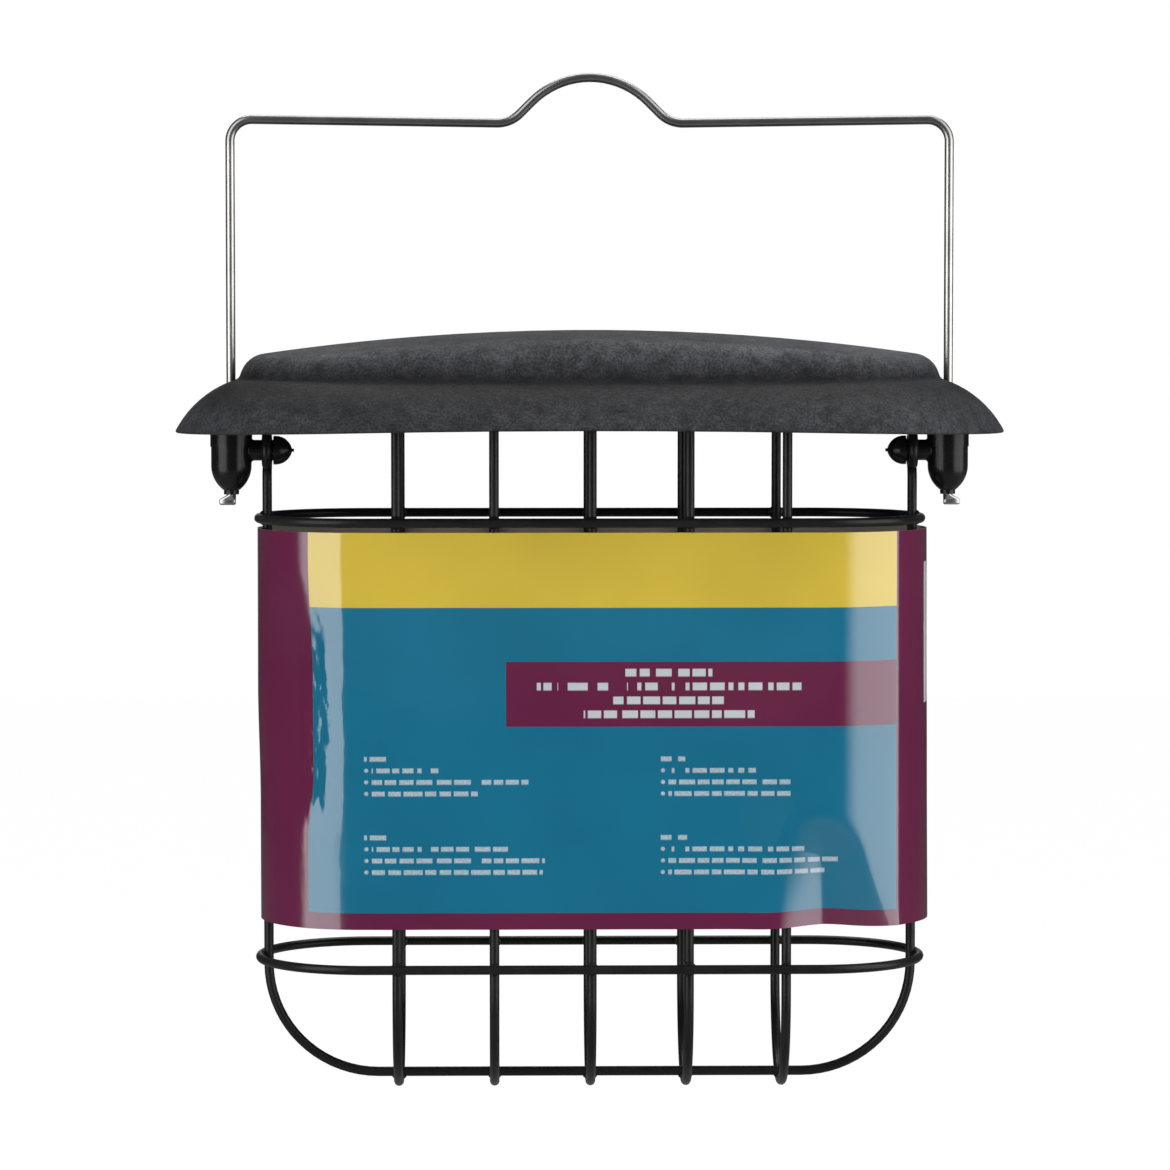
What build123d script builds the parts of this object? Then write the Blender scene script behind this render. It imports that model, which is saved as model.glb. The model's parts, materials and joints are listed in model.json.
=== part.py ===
from build123d import *
import math
import os

# Hanging suet feeder, in millimetres.
# The origin is where a hook carries the hanger, on the underside of its wire. +X runs along the
# feeder's length, +Y to its back and +Z up. Heights are built from the pivot, the line through the
# necks of the two fittings, about which the cage swings under the hanger.

# Wires
ring_wire = 2.3
cage_wire = 2.4
hanger_wire = 2.3
weld_sink = 0.25  # how far two welded wires are set into each other

# Rings, each with two straight sides and two round ends
ring_side = 111.6
ring_end_radius = 27.0
rim_above_pivot = 6.8
upper_ring_below_pivot = 16.9
ring_spacing = 110.2

# Cross wires, each a U across the cage
cross_count = 5
cross_pitch = 24.0
cross_leg_below_ring = 6.7

# Long hoop, with an eye round each fitting's neck
hoop_corner_radius = 27.5
eye_clearance = 0.3
eye_bend_radius = 4.0
eye_wrap = 300.0  # degrees

# Hanger
hump_rise = 11.35
hump_crown_radius = 20.5
hump_flank = 45.0  # degrees
hump_foot_radius = 8.0
bar_fall = 1.0  # from the bar's corners to the feet of its hump
hanger_corner_radius = 5.4
leg_height = 82.4
spade_width = 4.2
spade_thickness = 1.2
spade_lean = 1.0  # how far the pressed end stands outwards of its wire
spade_taper = 1.5
spade_blade = 1.2

# Fittings
bullet_diameter = 10.1
bullet_band_proud = 0.2
bullet_band_above_pivot = 0.9
bullet_top_round = 0.8
bullet_ring_gap = 0.6
bullet_below_pivot = 10.0
bullet_dome = 6.2
collar_diameter = 3.8
collar_height = 1.0
bore_clearance = 0.1
neck_diameter = 5.2
neck_root_radius = 0.7
eye_side_gap = 0.45
head_diameter = 7.2
head_length = 4.1
head_rim = 0.5
pip_diameter = 0.8
pip_length = 0.5

# Lid
lid_wall = 2.0
lid_ring_gap = 1.7
lid_crease_above_pivot = 17.9
crown_rise = 12.1
crown_end_fall = 6.8  # from the crown's middle to the plateau's ends
crown_side_fall = 3.2  # from the crown's middle to the plateau's sides
plateau_draft = 20.0  # degrees
shoulder_radius = 7.0
shoulder_limit_share = 1.55  # of the plateau's wall where it is lowest
crease_radius = 1.8
flare_run = 16.0
flare_drop = 13.4
flare_bulge = 24.0  # degrees that the flare turns each side of its chord
eave_arch = 1.7
lip_radius = 0.4
boss_diameter = 8.0
lid_seat_above_pivot = 9.4
lid_seat_gap = 0.3
lid_hole_clearance = 0.35

# Card sleeve
card = 0.4
sleeve_gap = 0.3
sleeve_below_upper_ring = 1.25
sleeve_above_lower_ring = 8.85
lap_width = 12.0

# Any cut that runs past a face runs this far past it
overrun = 5.0

# Places that follow from the sizes
half_side = ring_side / 2
ring_outer_radius = ring_end_radius + ring_wire / 2
cross_y = ring_end_radius - (ring_wire + cage_wire) / 2 + weld_sink
hoop_x = half_side + cross_y
bullet_radius = bullet_diameter / 2
leg_x = half_side + ring_outer_radius + bullet_ring_gap + bullet_radius

apex_z = hanger_wire / 2
foot_z = apex_z - hump_rise
bar_end_z = foot_z + bar_fall
pivot_z = bar_end_z - leg_height

rim_z = pivot_z + rim_above_pivot
upper_ring_z = pivot_z - upper_ring_below_pivot
lower_ring_z = upper_ring_z - ring_spacing
cross_arc_z = lower_ring_z - cross_leg_below_ring
hoop_bottom_z = cross_arc_z - cross_y + cage_wire - weld_sink

bullet_bottom_z = pivot_z - bullet_below_pivot
collar_bottom_z = bullet_bottom_z - collar_height
seat_z = pivot_z + lid_seat_above_pivot
bullet_top_z = seat_z - lid_seat_gap
crease_z = pivot_z + lid_crease_above_pivot
crown_z = crease_z + crown_rise
eave_z = crease_z - flare_drop
plateau_radius = ring_outer_radius + lid_ring_gap + lid_wall
lid_half_length = half_side + plateau_radius + flare_run
lid_half_width = plateau_radius + flare_run
plateau_reach = half_side + plateau_radius
crown_long_radius = (plateau_reach**2 + crown_end_fall**2) / (2 * crown_end_fall)
crown_cross_radius = (plateau_radius**2 + crown_side_fall**2) / (2 * crown_side_fall)
lowest_wall = crown_rise - math.hypot(crown_end_fall, crown_side_fall)
shoulder_round = min(shoulder_radius, shoulder_limit_share * lowest_wall)


def tube(path, diameter):
    """A round wire of one diameter along a path of lines and tangent arcs."""
    section = Plane(origin=path @ 0, z_dir=path % 0) * Circle(diameter / 2)
    return sweep(section, path=path)


def ring(height):
    """One closed ring of the cage at a height."""
    slot = SlotCenterToCenter(ring_side, 2 * ring_end_radius)
    path = Plane.XY.offset(height) * slot.face().outer_wire()
    return tube(path, ring_wire)


def cross_wire(place):
    """A U-shaped wire down the front of the cage, under it and up its back."""
    top = rim_z + ring_wire / 2
    front = Line((-cross_y, top), (-cross_y, cross_arc_z))
    under = CenterArc((0, cross_arc_z), cross_y, 180, 180)
    back = Line((cross_y, cross_arc_z), (cross_y, top))
    path = Plane.YZ.offset(place) * Wire([front, under, back])
    return tube(path, cage_wire)


def hoop_side(side):
    """The curves of one eye, leg and corner of the long hoop, from the eye's end downwards."""
    eye_radius = (neck_diameter + cage_wire) / 2 + eye_clearance
    reach = eye_radius + eye_bend_radius
    bend_z = pivot_z - math.sqrt(reach**2 - eye_bend_radius**2)
    meeting = math.degrees(math.atan2(bend_z - pivot_z, eye_bend_radius))
    across = Plane.YZ.offset(side * hoop_x)
    loop = across * CenterArc((0, pivot_z), eye_radius, meeting, eye_wrap)
    bend = across * CenterArc((eye_bend_radius, bend_z), eye_bend_radius, 180, meeting)
    corner_x = side * (hoop_x - hoop_corner_radius)
    corner_z = hoop_bottom_z + hoop_corner_radius
    leg = Line((side * hoop_x, 0, bend_z), (side * hoop_x, 0, corner_z))
    start = 0 if side > 0 else 180
    corner = Plane.XZ * CenterArc((corner_x, corner_z), hoop_corner_radius, start, -90 * side)
    return [loop, bend, leg, corner]


def long_hoop():
    """One wire from the left eye down, along under the cage and up to the right eye."""
    run = hoop_x - hoop_corner_radius
    bottom = Line((-run, 0, hoop_bottom_z), (run, 0, hoop_bottom_z))
    path = Wire(hoop_side(-1) + [bottom] + hoop_side(1))
    return tube(path, cage_wire)


def spade(side):
    """The hanger wire's end, pressed flat under its fitting so that it can't pull through."""
    top = Plane((side * leg_x, 0, collar_bottom_z))
    middle = top.offset(-spade_taper) * Pos(side * spade_lean, 0)
    foot = top.offset(-spade_taper - spade_blade) * Pos(side * spade_lean, 0)
    flat = Ellipse(spade_width / 2, spade_thickness / 2)
    taper = loft([top * Circle(hanger_wire / 2), middle * flat])
    blade = loft([middle * flat, foot * flat])
    return taper + blade


def hanger():
    """A bent wire: two legs, a bar and a hump in the bar that centres the hook."""
    flank = math.radians(hump_flank)
    vertex_z = apex_z + hump_crown_radius * (1 / math.cos(flank) - 1)
    foot_x = (vertex_z - foot_z) / math.tan(flank)
    points = [
        (-leg_x, 0, collar_bottom_z),
        (-leg_x, 0, bar_end_z),
        (-foot_x, 0, foot_z),
        (0, 0, vertex_z),
        (foot_x, 0, foot_z),
        (leg_x, 0, bar_end_z),
        (leg_x, 0, collar_bottom_z),
    ]
    radii = [
        hanger_corner_radius,
        hump_foot_radius,
        hump_crown_radius,
        hump_foot_radius,
        hanger_corner_radius,
    ]
    wire = tube(FilletPolyline(*points, radius=radii), hanger_wire)
    return wire + spade(-1) + spade(1)


def domed(place, radius, straight, dome, tip_radius, tip_length):
    """A piece turned about the Y axis of its plane: a straight barrel, a dome and a small tip."""
    dome_end = straight + dome
    tip_end = dome_end + tip_length
    arc = TangentArc((radius, straight), (tip_radius, dome_end), tangent=(0, 1))
    rest = Polyline(
        (tip_radius, dome_end),
        (tip_radius, tip_end),
        (0, tip_end),
        (0, 0),
        (radius, 0),
        (radius, straight),
    )
    return revolve(place * make_face(arc + rest), Axis(place.origin, place.y_dir))


def fitting():
    """The right-hand moulding: a bullet on the hanger's leg, with a neck and a domed head."""
    downwards = Plane((leg_x, 0, bullet_top_z), x_dir=(1, 0, 0), z_dir=(0, 1, 0))
    barrel_length = bullet_top_z - bullet_bottom_z - bullet_dome
    collar_radius = collar_diameter / 2
    bullet = domed(downwards, bullet_radius, barrel_length, bullet_dome, collar_radius, collar_height)

    head_x = hoop_x - cage_wire / 2 - eye_side_gap
    outwards = Plane((head_x, 0, pivot_z), z_dir=(1, 0, 0))
    body = bullet + extrude(outwards * Circle(neck_diameter / 2), leg_x - head_x)
    root_x = leg_x - bullet_radius
    root = body.edges().sort_by_distance((root_x, 0, pivot_z - neck_diameter / 2))[0]
    body = fillet(root, neck_root_radius)
    inwards = Plane((head_x, 0, pivot_z), x_dir=(0, 0, 1), z_dir=(0, -1, 0))
    body += domed(inwards, head_diameter / 2, head_rim, head_length, pip_diameter / 2, pip_length)

    band_z = pivot_z + bullet_band_above_pivot
    band_end = Plane((leg_x, 0, band_z)) * Circle(bullet_radius + bullet_band_proud)
    body += extrude(band_end, bullet_top_z - band_z)
    body = fillet(body.edges().group_by(Axis.Z)[-1], bullet_top_round)

    bore_radius = hanger_wire / 2 + bore_clearance
    bore = Plane((leg_x, 0, collar_bottom_z - overrun)) * Circle(bore_radius)
    return body - extrude(bore, bullet_top_z - collar_bottom_z + 2 * overrun)


def lid_form(inset, bottom_z):
    """The lid's outside, or at an inset the hollow under it, solid down to a level."""
    drop = math.atan2(flare_drop, flare_run)
    bulge = math.radians(flare_bulge)
    draft = math.radians(plateau_draft)
    chord = math.hypot(flare_run, flare_drop)
    flare_radius = chord / 2 / math.sin(bulge)
    arc_drop = flare_radius * math.cos(bulge)
    centre_r = plateau_radius + flare_run / 2 - arc_drop * math.sin(drop)
    centre_z = crease_z - flare_drop / 2 - arc_drop * math.cos(drop)
    foot_r = plateau_radius - inset / math.cos(draft)
    top_z = crown_z + overrun
    top_r = foot_r - (top_z - crease_z) * math.tan(draft)

    outline = [(0, bottom_z), (foot_r, bottom_z), (foot_r, crease_z), (top_r, top_z), (0, top_z)]
    plateau = make_face(Polyline(*outline, close=True))
    band_width = 2 * lid_half_width
    band_height = crown_z - bottom_z
    band = Pos(lid_half_width, bottom_z + band_height / 2) * Rectangle(band_width, band_height)
    flare = Pos(centre_r, centre_z) * Circle(flare_radius - inset) & band
    section = plateau + flare
    crease = section.vertices().sort_by_distance((foot_r, crease_z, 0))[0]
    section = fillet(crease, crease_radius + inset)

    mirrored = mirror(section, about=Plane.YZ)
    middle = extrude(Plane.YZ.offset(-half_side) * (section + mirrored), ring_side)
    right_axis = Axis((half_side, 0, 0), (0, 0, -1))
    right = revolve(Plane.YZ.offset(half_side) * section, right_axis, 180)
    left = mirror(right, about=Plane.YZ)
    return crown(middle + right + left, inset)


def crown(body, inset):
    """Cuts a solid to the lid's crown, which is arched both ways, and rounds its shoulder."""
    long_radius = crown_long_radius - inset
    cross_radius = crown_cross_radius - inset
    reach = lid_half_length + overrun
    end_radius = cross_radius - long_radius + math.sqrt(long_radius**2 - reach**2)
    arc = ThreePointArc((-reach, end_radius), (0, cross_radius), (reach, end_radius))
    sides = Polyline((-reach, end_radius), (-reach, 0), (reach, 0), (reach, end_radius))
    profile = make_face(arc + sides)
    barrel = Pos(0, 0, crown_z - crown_cross_radius) * revolve(profile, Axis.X, 180)
    solid = body & barrel
    top = solid.faces().sort_by(Axis.Z)[-1]
    return fillet(top.edges(), shoulder_round - inset)


def lid():
    """The moulded lid: a crowned plateau on a flared eave, with a guide boss at each end."""
    outside = lid_form(0, eave_z - overrun)
    hollow = lid_form(lid_wall, eave_z - 2 * overrun)
    shell = outside - hollow
    for side in (-1, 1):
        boss = Plane((side * leg_x, 0, seat_z)) * Circle(boss_diameter / 2)
        shell += extrude(boss, crown_z - seat_z) & outside
    arch_radius = (lid_half_length**2 + eave_arch**2) / (2 * eave_arch)
    arch = Plane.XZ * Pos(0, eave_z + eave_arch - arch_radius) * Circle(arch_radius)
    shell -= extrude(arch, lid_half_width + 2 * overrun, both=True)
    lip = shell.faces().sort_by(Axis.Z)[0]
    shell = shell.fillet(lip_radius, lip.outer_wire().edges())
    hole_radius = hanger_wire / 2 + lid_hole_clearance
    for side in (-1, 1):
        hole = Plane((side * leg_x, 0, eave_z)) * Circle(hole_radius)
        shell -= extrude(hole, crown_z - eave_z)
    return shell


def card_sleeve():
    """The printed card wrapped round the cross wires, glued over itself at the back."""
    inner_radius = cross_y + cage_wire / 2 + sleeve_gap
    outer_radius = inner_radius + card
    top_z = upper_ring_z - ring_wire / 2 - sleeve_below_upper_ring
    bottom_z = lower_ring_z + ring_wire / 2 + sleeve_above_lower_ring
    outline = SlotCenterToCenter(ring_side, 2 * outer_radius)
    around = outline - SlotCenterToCenter(ring_side, 2 * inner_radius)
    lap = Pos(0, outer_radius + card / 2) * Rectangle(lap_width, card)
    return extrude(Plane.XY.offset(bottom_z) * (around + lap), top_z - bottom_z)


def feeder():
    """Every piece by the name of its node."""
    right_fitting = fitting()
    pieces = {
        "hanger_wire": hanger(),
        "fitting_left": mirror(right_fitting, about=Plane.YZ),
        "fitting_right": right_fitting,
        "lid": lid(),
        "rim_ring": ring(rim_z),
        "upper_ring": ring(upper_ring_z),
        "lower_ring": ring(lower_ring_z),
        "long_hoop": long_hoop(),
        "card_sleeve": card_sleeve(),
    }
    for index in range(cross_count):
        place = (index - (cross_count - 1) / 2) * cross_pitch
        pieces[f"cross_wire_{index + 1}"] = cross_wire(place)
    return pieces


os.makedirs("parts", exist_ok=True)
for name, piece in feeder().items():
    export_step(piece, f"parts/{name}.step")
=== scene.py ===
import json
import math

import bpy
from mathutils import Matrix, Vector, noise


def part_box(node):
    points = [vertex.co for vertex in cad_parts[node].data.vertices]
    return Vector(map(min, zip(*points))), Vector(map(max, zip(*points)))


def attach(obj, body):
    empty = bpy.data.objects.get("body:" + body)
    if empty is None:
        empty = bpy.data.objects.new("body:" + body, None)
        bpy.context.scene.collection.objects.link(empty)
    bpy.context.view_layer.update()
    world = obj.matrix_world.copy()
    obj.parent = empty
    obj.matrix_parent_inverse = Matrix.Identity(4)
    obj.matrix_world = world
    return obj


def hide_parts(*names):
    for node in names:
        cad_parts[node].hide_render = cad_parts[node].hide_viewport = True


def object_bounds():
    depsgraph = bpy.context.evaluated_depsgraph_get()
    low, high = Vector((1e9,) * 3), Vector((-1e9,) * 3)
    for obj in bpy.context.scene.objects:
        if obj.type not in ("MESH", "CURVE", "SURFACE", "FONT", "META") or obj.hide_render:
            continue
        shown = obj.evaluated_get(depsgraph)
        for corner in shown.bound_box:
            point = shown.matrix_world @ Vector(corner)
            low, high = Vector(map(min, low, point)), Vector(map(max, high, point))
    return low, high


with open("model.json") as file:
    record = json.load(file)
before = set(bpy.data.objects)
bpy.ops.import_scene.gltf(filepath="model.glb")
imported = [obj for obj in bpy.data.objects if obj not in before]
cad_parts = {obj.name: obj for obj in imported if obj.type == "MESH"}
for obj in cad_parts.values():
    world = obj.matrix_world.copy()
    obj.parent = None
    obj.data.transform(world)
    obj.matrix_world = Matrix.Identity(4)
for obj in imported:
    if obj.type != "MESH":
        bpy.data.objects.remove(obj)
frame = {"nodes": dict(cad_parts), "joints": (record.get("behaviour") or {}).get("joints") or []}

cad_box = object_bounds()

# Lengths are in metres, and MM is one millimetre.
MM = 0.001


# Sizes that the frame gives

def size_of(node):
    """A node's lowest corner, highest corner and extent at rest."""
    low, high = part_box(node)
    low, high = Vector(low), Vector(high)
    return low, high, high - low


_, ring_high, ring_extent = size_of("upper_ring")
ring_wire = ring_extent.z
ring_radius = ring_high.y - ring_wire / 2
half_side = ring_high.x - ring_wire / 2 - ring_radius

cross_low, cross_high, cross_extent = size_of("cross_wire_1")
cage_wire = cross_extent.x
cross_y = cross_high.y - cage_wire / 2
cross_top = cross_high.z
cross_arc_z = cross_low.z + cage_wire / 2 + cross_y

hoop_low, hoop_high, _ = size_of("long_hoop")
hoop_x = hoop_high.x - cage_wire / 2
hoop_bottom = hoop_low.z + cage_wire / 2

pivot_z = next(joint["pos_m"][2] for joint in frame["joints"] if joint["name"] == "cage_swing")

hanger_low, hanger_high, hanger_extent = size_of("hanger_wire")
hanger_wire = hanger_extent.y
apex_z = hanger_high.z - hanger_wire / 2

sleeve_low, _, sleeve_extent = size_of("card_sleeve")


# Sizes of the bent wires

hoop_corner_radius = 27.5 * MM
eye_radius = hoop_high.z - cage_wire / 2 - pivot_z
eye_bend_radius = 4.0 * MM
eye_wrap = math.radians(300)

spade_width = 4.2 * MM
spade_thickness = 1.2 * MM
spade_lean = 1.0 * MM
spade_taper = 1.5 * MM
spade_blade = 1.2 * MM
spade_rounding = 0.5 * MM  # how far above its tip the blade draws in
spade_tip_across = 0.35 * MM
spade_tip_thick = 0.2 * MM
spade_levels = 14
leg_x = hanger_high.x - spade_lean - spade_width / 2
leg_end_z = hanger_low.z + spade_taper + spade_blade
hump_rise = 11.35 * MM
hump_crown_radius = 20.5 * MM
hump_flank = math.radians(45)
hump_foot_radius = 8.0 * MM
bar_fall = 1.0 * MM
hanger_corner_radius = 5.4 * MM

# Half sizes of the weld beads: along the wires, through both wires, and up or down
bead_long = 1.75 * MM
bead_thin = 0.85 * MM
bead_tall = 1.65 * MM

arc_step = math.radians(5)
same_place = 0.01 * MM
wire_sides = 28


# Camera, as the photograph was taken

photo_side = 1170  # pixels
focal_length = 4944  # pixels
sensor_width = 36.0  # millimetres, as the camera takes it
camera_distance = 1236 * MM
camera_z = -46.15 * MM
camera_azimuth = math.radians(-1.0)
camera_pitch = math.radians(3.67)  # downwards
camera_aim_x = -1.25 * MM


def make_camera():
    """Stands the camera in front of the feeder, a little above its middle and looking slightly down."""
    data = bpy.data.cameras.new("camera")
    data.sensor_width = sensor_width
    data.lens = sensor_width * focal_length / photo_side
    data.clip_start = 0.05
    data.clip_end = 20
    camera = bpy.data.objects.new("camera", data)
    bpy.context.scene.collection.objects.link(camera)
    back = Vector((math.sin(camera_azimuth), -math.cos(camera_azimuth), 0))
    camera.location = Vector((camera_aim_x, 0, camera_z)) + camera_distance * back
    camera.rotation_euler = (math.pi / 2 - camera_pitch, 0, camera_azimuth)
    bpy.context.scene.camera = camera


# Small helpers for node trees

def put(tree, kind, inputs=None, **settings):
    """Adds a node, sets it up and joins or fills its inputs."""
    made = tree.nodes.new(kind)
    for name, value in settings.items():
        setattr(made, name, value)
    for name, value in (inputs or {}).items():
        socket = made.inputs[name]
        if isinstance(value, bpy.types.NodeSocket):
            tree.links.new(value, socket)
        else:
            socket.default_value = value
    return made


def maths(tree, operation, *values, clamp=False):
    """One Math node on sockets or numbers; returns its result."""
    inputs = dict(enumerate(values))
    return put(tree, "ShaderNodeMath", inputs, operation=operation, use_clamp=clamp).outputs[0]


def mix_colours(tree, factor, first, second):
    """The second colour over the first by a factor."""
    mix = put(tree, "ShaderNodeMix", data_type="RGBA")
    for index, value in ((0, factor), (6, first), (7, second)):
        if isinstance(value, bpy.types.NodeSocket):
            tree.links.new(value, mix.inputs[index])
        else:
            mix.inputs[index].default_value = value
    return mix.outputs[2]


def grain(tree, vector, size, detail=2.0, roughness=0.5):
    """A noise whose lumps are about as large as the size given in metres."""
    return put(
        tree,
        "ShaderNodeTexNoise",
        {"Vector": vector, "Scale": 1 / size, "Detail": detail, "Roughness": roughness},
    ).outputs[0]


def spread(tree, value, low, high, bottom=0.0, top=1.0):
    """Maps a value from one range to another and holds it there."""
    return put(
        tree,
        "ShaderNodeMapRange",
        {"Value": value, "From Min": low, "From Max": high, "To Min": bottom, "To Max": top},
    ).outputs[0]


def between(tree, value, low, high, soft):
    """1 where value lies between two limits and 0 elsewhere, with an edge as soft as asked."""
    rise = spread(tree, value, low - soft, low + soft)
    fall = spread(tree, value, high + soft, high - soft)
    return maths(tree, "MULTIPLY", rise, fall)


def scaled(tree, vector, factor):
    """A vector or colour times a factor."""
    return put(tree, "ShaderNodeVectorMath", {0: vector, "Scale": factor}, operation="SCALE").outputs[0]


def parts_of(tree, vector):
    """The three parts of a vector."""
    return put(tree, "ShaderNodeSeparateXYZ", {"Vector": vector}).outputs


def bump(tree, height, distance):
    """Relief of the height given, in metres."""
    return put(tree, "ShaderNodeBump", {"Height": height, "Distance": distance}).outputs[0]


def new_finish(name):
    """An empty material with its output, its surface shader and its object coordinates."""
    finish = bpy.data.materials.new(name)
    finish.use_nodes = True
    tree = finish.node_tree
    tree.nodes.clear()
    output = put(tree, "ShaderNodeOutputMaterial")
    shader = put(tree, "ShaderNodeBsdfPrincipled")
    tree.links.new(shader.outputs[0], output.inputs[0])
    place = put(tree, "ShaderNodeTexCoord").outputs["Object"]
    return finish, tree, shader, place


def join(tree, shader, **inputs):
    """Joins or fills the surface shader's inputs, whose names are written with underscores."""
    for name, value in inputs.items():
        socket = shader.inputs[name.replace("_", " ")]
        if isinstance(value, bpy.types.NodeSocket):
            tree.links.new(value, socket)
        else:
            socket.default_value = value


# Finishes

steel_grey = (0.43, 0.425, 0.41, 1)
steel_pale = (0.53, 0.525, 0.51, 1)
# Painted shade: above the given height on the hanger's legs, its colour turns towards a darker grey,
# standing in for the dark reflections of its bar and hump.
steel_painted_dark = (0.21, 0.207, 0.21, 1)
painted_shade_from = -17 * MM  # up the hanger's legs
painted_shade_to = -11 * MM
painted_shade_share = 0.75

coat_black = (0.0085, 0.0085, 0.0092, 1)
coat_dusty = (0.016, 0.016, 0.017, 1)
fitting_black = (0.007, 0.007, 0.0075, 1)
fitting_grey = (0.012, 0.012, 0.013, 1)

lid_dark = (0.0202, 0.0208, 0.0229, 1)
lid_light = (0.0468, 0.0478, 0.0542, 1)
lid_rubbed = (0.095, 0.097, 0.102, 1)
lid_low, _, lid_extent = size_of("lid")
lid_crease_share = 0.52  # of the lid's height, from its eave's edge up
lid_crease_z = (
    lid_low.z + lid_crease_share * lid_extent.z - frame["nodes"]["lid"].matrix_world.translation.z
)
# The lid's colour carries painted shade in its crease and painted light on its wall's top and shoulder.
# Heights over the crease between which this painted tone changes:
wall_rise = (0.0, 6.0 * MM)
shoulder_rise = (8.0 * MM, 10.5 * MM)
eave_fall = (-1.0 * MM, -8.5 * MM)
# Painted light: the lid's colour grows paler along this run towards its right end.
painted_light_run = (-20.0 * MM, 85.0 * MM)  # along the lid, to its right end


def bright_steel():
    """Nickel-plated drawn wire: fine lines along it, a haze where hands have been, and painted shade that
    darkens its bar and hump in place of the dark reflections they show.
    """
    finish, tree, shader, place = new_finish("bright_steel")
    along = put(tree, "ShaderNodeAttribute", attribute_name="wire_place").outputs["Vector"]
    drawn = put(tree, "ShaderNodeMapping", {"Vector": along, "Scale": (12.0, 7.0, 7.0)}).outputs[0]
    lines = put(tree, "ShaderNodeTexNoise", {"Vector": drawn, "Scale": 1.0, "Detail": 1.0}).outputs[0]
    haze = grain(tree, place, 9 * MM)
    bright = mix_colours(tree, spread(tree, haze, 0.35, 0.65), steel_grey, steel_pale)
    # Painted shade: darker grey over the bar and hump, standing in for dark reflections.
    bar_painted_shade = spread(tree, parts_of(tree, place)[2], painted_shade_from, painted_shade_to, 0.0, painted_shade_share)
    colour = mix_colours(tree, bar_painted_shade, bright, steel_painted_dark)
    roughness = maths(
        tree,
        "ADD",
        spread(tree, haze, 0.4, 0.7, 0.28, 0.32),
        spread(tree, lines, 0.35, 0.65, 0.0, 0.02),
    )
    normal = bump(tree, lines, 0.001 * MM)
    join(tree, shader, Base_Color=colour, Metallic=1.0, Roughness=roughness, Normal=normal)
    return finish


def black_powder_coat():
    """Satin black powder coat with the fine ripple that it dries with."""
    finish, tree, shader, place = new_finish("black_powder_coat")
    ripple = grain(tree, place, 0.9 * MM)
    dust = grain(tree, place, 14 * MM, detail=5.0, roughness=0.6)
    colour = mix_colours(tree, spread(tree, dust, 0.4, 0.72), coat_black, coat_dusty)
    roughness = maths(
        tree,
        "ADD",
        spread(tree, dust, 0.3, 0.7, 0.27, 0.37),
        spread(tree, ripple, 0.35, 0.65, 0.0, 0.06),
    )
    normal = bump(tree, ripple, 0.03 * MM)
    join(tree, shader, Base_Color=colour, Roughness=roughness, Normal=normal, Specular_IOR_Level=0.25)
    return finish


def black_moulding():
    """Glossy black moulding, with a faint flow ripple."""
    finish, tree, shader, place = new_finish("black_moulding")
    flow = grain(tree, place, 4 * MM)
    specks = grain(tree, place, 0.5 * MM, detail=3.0)
    colour = mix_colours(tree, spread(tree, flow, 0.35, 0.7), fitting_black, fitting_grey)
    roughness = spread(tree, specks, 0.3, 0.75, 0.18, 0.30)
    normal = bump(tree, flow, 0.05 * MM)
    join(tree, shader, Base_Color=colour, Roughness=roughness, Normal=normal, Specular_IOR_Level=0.3)
    return finish


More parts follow.
